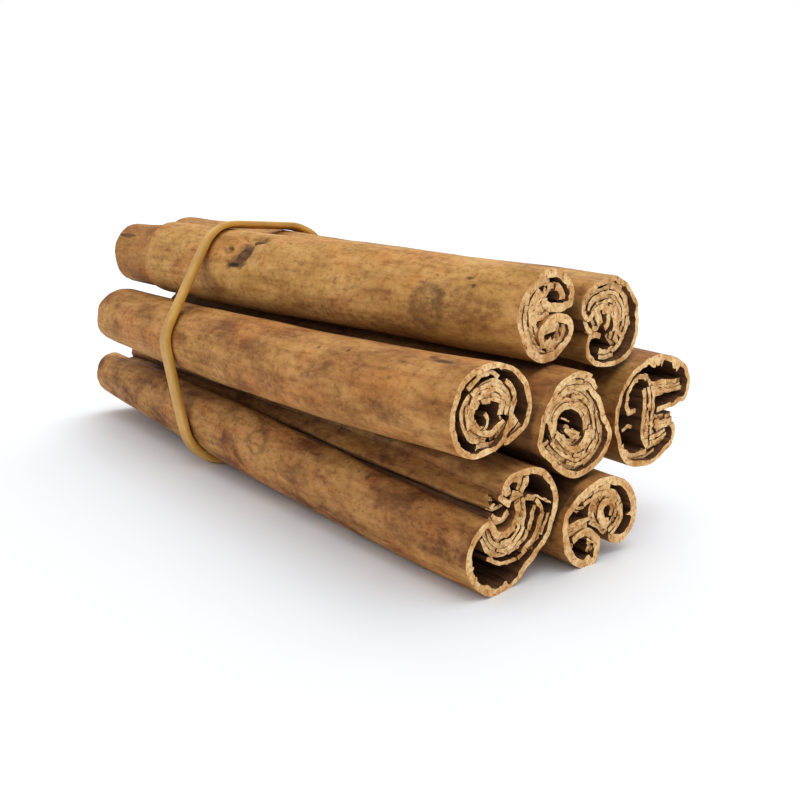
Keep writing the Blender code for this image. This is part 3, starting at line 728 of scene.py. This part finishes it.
def blend(tree, share, under, over, how="MIX"):
    """One colour laid over another by a share."""
    return add(tree, "ShaderNodeMix", {0: share, 6: under, 7: over}, data_type="RGBA",
               blend_type=how).outputs[2]


def grain(tree, place, size, seed, **settings):
    """Noise whose blotches measure size mm along X, Y and Z."""
    scale = tuple(1.0 / (s * MM) for s in size)
    moved = add(tree, "ShaderNodeMapping", {"Vector": place, "Scale": scale,
                                            "Location": (seed * 7.3, seed * 3.1, seed * 5.7)})
    return add(tree, "ShaderNodeTexNoise", {"Vector": moved.outputs["Vector"], "Scale": 1.0,
                                            **settings}).outputs["Fac"]


def new_material(name, roughness, specular):
    """A material with its node tree, and the place on the object that its patterns follow."""
    material = bpy.data.materials.new(name)
    material.use_nodes = True
    tree = material.node_tree
    shader = tree.nodes["Principled BSDF"]
    shader.inputs["Roughness"].default_value = roughness
    shader.inputs["Specular IOR Level"].default_value = specular
    return material, tree, add(tree, "ShaderNodeTexCoord").outputs["Object"]


def lay_on(tree, colour, height, strength, depth):
    """Gives a material its colour, and its relief of a strength and a depth in mm."""
    shader = tree.nodes["Principled BSDF"]
    relief = add(tree, "ShaderNodeBump", {"Height": height, "Strength": strength,
                                          "Distance": depth * MM})
    tree.links.new(colour, shader.inputs["Base Color"])
    tree.links.new(relief.outputs["Normal"], shader.inputs["Normal"])


def marked(tree, place, seed, grains, colour, marks):
    """Lays the marks over a colour. Returns the colour and how deep they sink into the bark."""
    ragged = grain(tree, place, (1.5, 0.9, 0.9), seed, Detail=3.0, Roughness=0.6)
    ragged = maths(tree, "MULTIPLY_ADD", ragged, RAGGED, -RAGGED / 2)
    sunk = 0.0
    mottle = stretch(tree, grains, 0.62, 0.42, 0.25, 1.0)
    for kind, centre, radii in marks:
        tint, strength, softness, ring = MARK_KINDS[kind]
        scale = 1.0 / (np.array(radii) * MM)
        local = add(tree, "ShaderNodeMapping",
                    {"Vector": place, "Scale": tuple(scale),
                     "Location": tuple((MIDDLE - np.array(centre)) * MM * scale)})
        reach = add(tree, "ShaderNodeVectorMath", {0: local.outputs[0]}, operation="LENGTH")
        reach = maths(tree, "MULTIPLY_ADD", ragged, 0.5 if ring else 1.0, reach.outputs["Value"])
        if ring:
            reach = maths(tree, "ABSOLUTE", maths(tree, "SUBTRACT", reach, RING_AT))
            reach = maths(tree, "DIVIDE", reach, RING_WIDTH)
        cover = stretch(tree, reach, 1.0 - softness, 1.0, strength, 0.0)
        if kind in ("patch", "scab"):
            cover = maths(tree, "MULTIPLY", cover, mottle)
        colour = blend(tree, cover, colour, linear(tint))
        if kind in ("knot", "hole", "scar"):
            sunk = maths(tree, "ADD", cover, sunk)
    return colour, sunk


def bark(name, seed, pale, mid, dark, mottled):
    """Cinnamon bark, scraped and sun-dried: matt, finely grained, with patches and specks.

    To the eye it is a golden brown that clouds over softly, with a dry grain; shade is painted into its
    creases.
    """
    material, tree, place = new_material("scraped_bark_" + name, 0.75, 0.25)
    patches = grain(tree, place, (6.0, 3.0, 3.0), seed, Detail=8.0, Roughness=0.66, Distortion=0.2)
    hues = grain(tree, place, (9.0, 5.0, 5.0), seed + 5, Detail=3.0, Roughness=0.6)
    grains = grain(tree, place, (1.1, 0.7, 0.7), seed + 11, Detail=4.0, Roughness=0.75)
    streaks = grain(tree, place, (12.0, 0.7, 0.7), seed + 17, Detail=3.0, Roughness=0.6)
    specks = grain(tree, place, (0.7, 0.5, 0.5), seed + 23, Detail=1.0, Roughness=0.5)
    fibres = grain(tree, place, (2.0, 0.35, 0.35), seed + 31, Detail=4.0, Roughness=0.7)
    colour = ramp(tree, patches, (0.30 + 0.12 * mottled, dark), (0.43 + 0.06 * mottled, mid),
                  (0.60, pale))
    for share, value, stops in (
            (1.0, hues, ((0.38, 0xFFEFE0), (0.5, 0xFFFFFF), (0.62, 0xF6F4E2))),
            (0.9, grains, ((0.3, 0xBCA58B), (0.5, 0xF3EEE6), (0.68, 0xFFFFFF))),
            (0.45, streaks, ((0.34, 0xB8A28A), (0.5, 0xF6F0EA), (0.62, 0xFFFFFF)))):
        colour = blend(tree, share, colour, ramp(tree, value, *stops), "MULTIPLY")
    dots = stretch(tree, specks, 0.66, 0.74, 0.0, 0.3 + 0.4 * mottled)
    colour = blend(tree, dots, colour, linear(0x5E3E26))
    peeled = add(tree, "ShaderNodeAttribute", attribute_name="stain").outputs["Fac"]
    under = blend(tree, 1.0, colour, linear(0xE0D2C2), "MULTIPLY")
    colour = blend(tree, peeled, colour, under)
    colour, sunk = marked(tree, place, seed + 43, grains, colour, MARKS.get(name, ()))
    # Painted shade: the bark is darkened where other bark closes in on it, in the creases.
    painted_crease_shade = add(tree, "ShaderNodeAttribute", attribute_name="painted_crease_shade").outputs["Fac"]
    colour = blend(tree, stretch(tree, painted_crease_shade, 0.12, 0.85, 0.0, CREASE_SHADE), colour, linear(0x1E120A))
    height = maths(tree, "SUBTRACT", maths(tree, "ADD", fibres, grains), sunk)
    lay_on(tree, colour, height, 0.4, 0.15)
    return material


def paint_crease_shade(pieces):
    """Painted shade where the quills lie close: how closed in each point of the bark is, stored on its
    points.
    """
    corners, faces, wanted = [], [], []
    for piece in pieces:
        mesh = piece.data
        first = len(corners)
        corners.extend((vertex.co / MM).to_tuple() for vertex in mesh.vertices)
        faces.extend([first + index for index in face.vertices] for face in mesh.polygons)
        wanted.append({index for face in mesh.polygons if face.material_index == 0
                       for index in face.vertices})
    tree = BVHTree.FromPolygons(corners, faces)
    for piece, scraped in zip(pieces, wanted):
        painted_crease_shade = np.zeros(len(piece.data.vertices))
        for index in scraped:
            vertex = piece.data.vertices[index]
            normal = vertex.normal
            side = normal.cross(Vector((1.0, 0.0, 0.0))).normalized()
            start = vertex.co / MM + CREASE_SHADE_START * normal
            for lean in CREASE_SHADE_LEANS:
                hit = tree.ray_cast(start, (normal + lean * side).normalized(), CREASE_SHADE_REACH)
                if hit[3] is not None:
                    painted_crease_shade[index] += (1.0 - hit[3] / CREASE_SHADE_REACH) / len(CREASE_SHADE_LEANS)
        piece.data.attributes.new("painted_crease_shade", "FLOAT", "POINT").data.foreach_set("value", painted_crease_shade)


def bark_inside(name, dark, pale):
    """The inner face of the sheets: raw brown fibres, dull and darker than the scraped face."""
    material, tree, place = new_material("raw_bark_" + name, 0.85, 0.2)
    fibres = grain(tree, place, (3.0, 0.5, 0.5), 41, Detail=4.0, Roughness=0.6)
    lay_on(tree, ramp(tree, fibres, (0.35, dark), (0.65, pale)), fibres, 0.5, 0.2)
    return material


def cut_bark(name, colours):
    """Bark cut across its fibres: pale, dry and crumbly, with darker pores."""
    material, tree, place = new_material("cut_bark_" + name, 0.9, 0.2)
    pores = grain(tree, place, (0.5, 0.38, 0.38), 53, Detail=4.0, Roughness=0.7)
    cloud = grain(tree, place, (3.0, 2.0, 2.0), 61, Detail=2.0)
    shade = ramp(tree, cloud, (0.35, 0xD8C2A8), (0.6, 0xFFFFFF))
    colour = ramp(tree, pores, *zip((0.32, 0.44, 0.58), colours))
    lay_on(tree, blend(tree, 1.0, colour, shade, "MULTIPLY"), pores, 0.7, 0.15)
    return material


def rubber():
    """Natural rubber, cut from a pale amber tube: satin, faintly cloudy, and a little clear."""
    material, tree, place = new_material("natural_rubber", 0.45, 0.5)
    cloud = grain(tree, place, (3.0, 3.0, 3.0), 71, Detail=3.0)
    lay_on(tree, ramp(tree, cloud, (0.35, 0xBC8934), (0.65, 0xD6A345)), cloud, 0.2, 0.1)
    shader = tree.nodes["Principled BSDF"]
    shader.inputs["Subsurface Weight"].default_value = 0.15
    shader.inputs["Subsurface Radius"].default_value = (1.2 * MM, 0.7 * MM, 0.3 * MM)
    shader.inputs["Subsurface Scale"].default_value = 1.0
    return material


# --- rubber band ------------------------------------------------------------------------------

def band_loop(sheets):
    """The band's inner line: the shortest loop round the quills in its leaning plane."""
    lean = np.array((BAND_LEAN_Z, 0.0, 1.0)) / math.hypot(1.0, BAND_LEAN_Z)
    across_plane = np.array((1.0, 0.0, -BAND_LEAN_Z)) / math.hypot(1.0, BAND_LEAN_Z)
    origin = np.array((BAND_X, 0.0, BAND_HEIGHT))
    near_plane = []
    for piece in sheets:
        flat = np.empty(len(piece.data.vertices) * 3)
        piece.data.vertices.foreach_get("co", flat)
        points = flat.reshape(-1, 3) / MM + MIDDLE - origin
        near_plane.append(points[np.abs(points @ across_plane) < BAND_WIDTH / 2])
    points = np.vstack(near_plane)
    flat = np.stack([points[:, 1], points @ lean], axis=1)
    angles = np.linspace(0.0, 2.0 * math.pi, BAND_BEARINGS, endpoint=False)
    ways = np.stack([np.cos(angles), np.sin(angles)], axis=1)
    bearing = flat[np.argmax(flat @ ways.T, axis=0)] + ways * BAND_CLEAR
    closed = np.vstack([bearing, bearing[:1]])
    length = np.concatenate([[0.0], np.cumsum(np.linalg.norm(np.diff(closed, axis=0), axis=1))])
    count = math.ceil(length[-1] / BAND_STEP)
    marks = np.linspace(0.0, length[-1], count, endpoint=False)
    loop = np.stack([np.interp(marks, length, closed[:, k]) for k in (0, 1)], axis=1)
    ahead = np.roll(loop, -2, axis=0) - np.roll(loop, 2, axis=0)
    ahead /= np.linalg.norm(ahead, axis=1)[:, None]
    outward = np.stack([ahead[:, 1], -ahead[:, 0]], axis=1)
    in_space = origin + loop[:, :1] * np.array((0.0, 1.0, 0.0)) + loop[:, 1:] * lean
    out_space = outward[:, :1] * np.array((0.0, 1.0, 0.0)) + outward[:, 1:] * lean
    return in_space, out_space, across_plane


def rubber_band(sheets, rng):
    """A flat strip with rounded edges and a shallow groove along its middle."""
    loop, outward, sideways = band_loop(sheets)
    count = len(loop)
    bpy.ops.mesh.primitive_torus_add(major_segments=count, minor_segments=BAND_SIDES,
                                     major_radius=1.0, minor_radius=0.1)
    band = bpy.context.object
    band.name = "natural_rubber_band"
    band.data.name = band.name
    angle = 2.0 * math.pi * np.arange(BAND_SIDES) / BAND_SIDES
    across = np.sign(np.cos(angle)) * np.abs(np.cos(angle)) ** 0.35 * BAND_WIDTH / 2
    up = BAND_THICKNESS / 2 * (1.0 + np.sign(np.sin(angle)) * np.abs(np.sin(angle)) ** 0.6)
    up -= BAND_GROOVE * (np.sin(angle) > 0.5) * np.cos(across * math.pi / BAND_WIDTH) ** 4
    along = np.arange(count) * BAND_STEP
    drift = ripple(rng, along, np.array((0.0, 1.0)), BAND_DRIFT)[:, :1]
    drift *= np.minimum(1.0, np.minimum(along, along[::-1]) / 8.0)[:, None]
    places = loop[:, None] + outward[:, None] * up[None, :, None]
    places = places + sideways * (across[None] * 0.95 + drift)[..., None]
    band.data.vertices.foreach_set("co", ((places - MIDDLE) * MM).ravel())
    bpy.ops.object.mode_set(mode="EDIT")
    bpy.ops.mesh.select_all(action="SELECT")
    bpy.ops.mesh.normals_make_consistent(inside=False)
    bpy.ops.object.mode_set(mode="OBJECT")
    bpy.ops.object.shade_smooth_by_angle(angle=math.radians(SHARP_EDGE))
    band.data.materials.append(rubber())
    return band


# --- the bundle -------------------------------------------------------------------------------

bpy.ops.object.select_all(action="DESELECT")
cut = cut_bark("pale", (0x9A6637, 0xEDB87A, 0xFFDCA4))
crumb = cut_bark("packed", (0x7A5232, 0xB08050, 0xDDAE72))
outer_pieces = []
for number, (name, quill) in enumerate(QUILLS.items()):
    rng = np.random.default_rng(100 + number)
    pale, mid, dark, mottled = FINISHES[name]
    inside = bark_inside(name, 0x4A2E1C, 0x7A5234)
    scraped = bark(name, number, pale, mid, dark, mottled)
    wraps = [outer_sheet("quill_" + name, quill, rng, (scraped, inside, cut))]
    if "cover" in quill:
        wraps.append(cover_sheet("quill_" + name, quill, rng, (scraped, inside, cut)))
    wrap = join(wraps, "quill_" + name)
    packed = join(inner_sheets("layers_" + name, quill, rng, (inside, inside, cut), crumb)
                  + [crumbs("layers_" + name, quill, rng, cut)], "layers_" + name)
    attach(wrap, "root")
    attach(packed, "root")
    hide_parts("stick_" + name)
    outer_pieces.append(wrap)

# Painted shade in the creases between the quills, stored on the bark's points.
paint_crease_shade(outer_pieces)
band = rubber_band(outer_pieces, np.random.default_rng(7))
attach(band, "root")
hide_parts("rubber_band")


# --- studio -----------------------------------------------------------------------------------

bpy.ops.mesh.primitive_plane_add(size=8.0, location=(0.0, 0.0, 0.0))
floor = bpy.context.object
floor.name = "studio_floor"
paper = new_material("white_paper", 0.9, 0.0)[0]
paper.node_tree.nodes["Principled BSDF"].inputs["Base Color"].default_value = linear(0xF1F3F6)
floor.data.materials.append(paper)

world = bpy.data.worlds.new("studio")
bpy.context.scene.world = world
world.use_nodes = True
sky = world.node_tree
light_path = add(sky, "ShaderNodeLightPath")
backdrop = add(sky, "ShaderNodeBackground", {"Color": linear(0xFFFFFF), "Strength": 1.0})
ambient = add(sky, "ShaderNodeBackground", {"Color": linear(0xFAFDFF), "Strength": AMBIENT})
choice = add(sky, "ShaderNodeMixShader", {0: light_path.outputs["Is Camera Ray"],
                                          1: ambient.outputs[0], 2: backdrop.outputs[0]})
sky.links.new(choice.outputs[0], sky.nodes["World Output"].inputs["Surface"])

for name, energy, turn in (("overhead_softbox", KEY, KEY_TURN), ("rear_softbox", RIM, RIM_TURN)):
    lamp = bpy.data.lights.new(name, "SUN")
    lamp.energy = energy
    lamp.angle = math.radians(SOFTNESS)
    light = bpy.data.objects.new(name, lamp)
    light.rotation_euler = [math.radians(angle) for angle in turn]
    bpy.context.scene.collection.objects.link(light)

lens = bpy.data.cameras.new("camera")
lens.sensor_width = 36.0
lens.lens = LENS
lens.clip_start = 0.001
camera = bpy.data.objects.new("camera", lens)
camera.location = (np.array(CAMERA) - MIDDLE) * MM
camera.rotation_euler = [math.radians(turn) for turn in CAMERA_TURN]
bpy.context.scene.collection.objects.link(camera)
bpy.context.scene.camera = camera
bpy.context.scene.view_settings.view_transform = "Standard"

bpy.context.view_layer.update()
